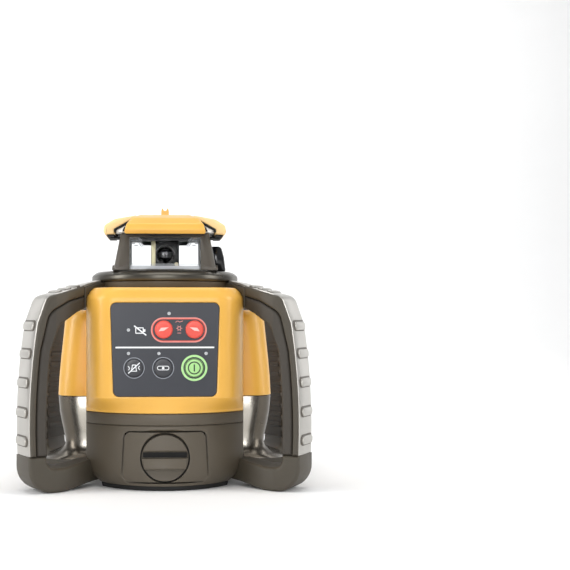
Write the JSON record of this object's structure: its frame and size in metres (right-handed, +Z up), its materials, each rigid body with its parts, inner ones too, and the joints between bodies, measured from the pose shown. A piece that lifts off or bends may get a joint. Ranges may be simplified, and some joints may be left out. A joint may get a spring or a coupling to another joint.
{
  "type": "rotating laser level",
  "caption": "Self-levelling rotating laser level with corner grips, keypad, pull-out battery holder and a spinning head under a glazed lighthouse.",
  "frame": {"origin": "under the middle of the instrument, on the surface that it stands on", "axes": "+Z up along the rotor's axis, front with the control panel towards -Y, +X to the right seen from the front"},
  "size_m": [0.2622, 0.2, 0.2525],
  "materials": {
    "yellow_shell": "satin moulded plastic",
    "brown_shell": "matte moulded plastic",
    "silver_skin": "silver metallic moulded plastic",
    "dark_frame": "matte moulded plastic",
    "black_rubber": "matte rubber",
    "panel_film": "satin keypad film",
    "red_key": "satin key",
    "black_key": "satin key",
    "green_key": "satin key",
    "clear_plastic": "clear light guide",
    "window_glass": "clear glass",
    "lens_glass": "dark coated glass",
    "aluminium": "machined",
    "brass": "machined",
    "steel": "plain steel",
    "circuit_board": "solder-masked board",
    "cell_jacket": "printed metal jacket, plain",
    "inner_plastic": "moulded plastic"
  },
  "bodies": {
    "body": {"main_case": "yellow_shell", "bumper_front": "yellow_shell", "bumper_right": "yellow_shell", "bumper_rear": "yellow_shell", "bumper_left": "yellow_shell", "peep_sight": "yellow_shell", "lower_housing": "brown_shell", "waist_band": "brown_shell", "neck_frame": "brown_shell", "grip_core_front_right": "brown_shell", "grip_core_front_left": "brown_shell", "grip_core_rear_right": "brown_shell", "grip_core_rear_left": "brown_shell", "foot_front_right": "brown_shell", "foot_front_left": "brown_shell", "foot_rear_right": "brown_shell", "foot_rear_left": "brown_shell", "side_cover_left": "silver_skin", "side_cover_right": "silver_skin", "top_ring": "silver_skin", "head_cap": "silver_skin", "grip_skin_front_right": "silver_skin", "grip_skin_front_left": "silver_skin", "grip_skin_rear_right": "silver_skin", "grip_skin_rear_left": "silver_skin", "lighthouse_frame": "dark_frame", "receiver_window": "dark_frame", "base_pad": "black_rubber", "control_panel": "panel_film", "light_guide": "clear_plastic", "lighthouse_glass": "window_glass", "base_plate": "aluminium", "gimbal_frame": "aluminium", "tripod_insert": "brass", "contact_plate": "steel", "level_motor_x": "steel", "level_motor_y": "steel", "control_board": "circuit_board"},
    "battery_holder": {"battery_door": "brown_shell", "door_seal": "black_rubber", "battery_tray": "inner_plastic", "battery_cell_1": "cell_jacket", "battery_cell_2": "cell_jacket", "battery_cell_3": "cell_jacket", "battery_cell_4": "cell_jacket"},
    "lock_knob": {"lock_knob": "brown_shell", "latch_cam": "steel"},
    "key_up": {"key_up": "red_key"},
    "key_down": {"key_down": "red_key"},
    "key_vibration": {"key_vibration": "black_key"},
    "key_mode": {"key_mode": "black_key"},
    "key_power": {"key_power": "green_key"},
    "gimbal_ring": {"gimbal_ring": "aluminium"},
    "laser_module": {"laser_tube": "aluminium", "rotor_motor": "steel", "drive_belt": "black_rubber"},
    "rotor": {"rotor": "inner_plastic", "rotor_lens": "lens_glass", "penta_prism": "window_glass"},
    "motor_pulley": {"motor_pulley": "brass"}
  },
  "joints": [
    {"name": "battery_slide", "type": "slide", "parent": "body", "child": "battery_holder", "axis": [0, -1, 0], "range_m": [0, 0.13]},
    {"name": "knob_turn", "type": "hinge", "parent": "battery_holder", "child": "lock_knob", "pos_m": [0, -0.084, 0.0287], "axis": [0, -1, 0], "range_deg": [0, 90]},
    {"name": "key_up_press", "type": "slide", "parent": "body", "child": "key_up", "axis": [0, 1, 0], "range_m": [0, 0.0008], "stiffness_N_per_m": 1500},
    {"name": "key_down_press", "type": "slide", "parent": "body", "child": "key_down", "axis": [0, 1, 0], "range_m": [0, 0.0008], "stiffness_N_per_m": 1500},
    {"name": "key_vibration_press", "type": "slide", "parent": "body", "child": "key_vibration", "axis": [0, 1, 0], "range_m": [0, 0.0008], "stiffness_N_per_m": 1500},
    {"name": "key_mode_press", "type": "slide", "parent": "body", "child": "key_mode", "axis": [0, 1, 0], "range_m": [0, 0.0008], "stiffness_N_per_m": 1500},
    {"name": "key_power_press", "type": "slide", "parent": "body", "child": "key_power", "axis": [0, 1, 0], "range_m": [0, 0.0008], "stiffness_N_per_m": 1500},
    {"name": "gimbal_tilt_x", "type": "hinge", "parent": "body", "child": "gimbal_ring", "pos_m": [0, 0, 0.13], "axis": [1, 0, 0], "range_deg": [-5, 5]},
    {"name": "gimbal_tilt_y", "type": "hinge", "parent": "gimbal_ring", "child": "laser_module", "pos_m": [0, 0, 0.13], "axis": [0, 1, 0], "range_deg": [-5, 5]},
    {"name": "rotor_spin", "type": "hinge", "parent": "laser_module", "child": "rotor", "pos_m": [0, 0, 0.2095], "axis": [0, 0, 1], "continuous": true},
    {"name": "motor_spin", "type": "hinge", "parent": "laser_module", "child": "motor_pulley", "pos_m": [0, 0.027, 0.188], "axis": [0, 0, 1], "continuous": true}
  ],
  "couplings": [
    {"joint": "motor_spin", "follows": "rotor_spin", "ratio": 2.7}
  ]
}
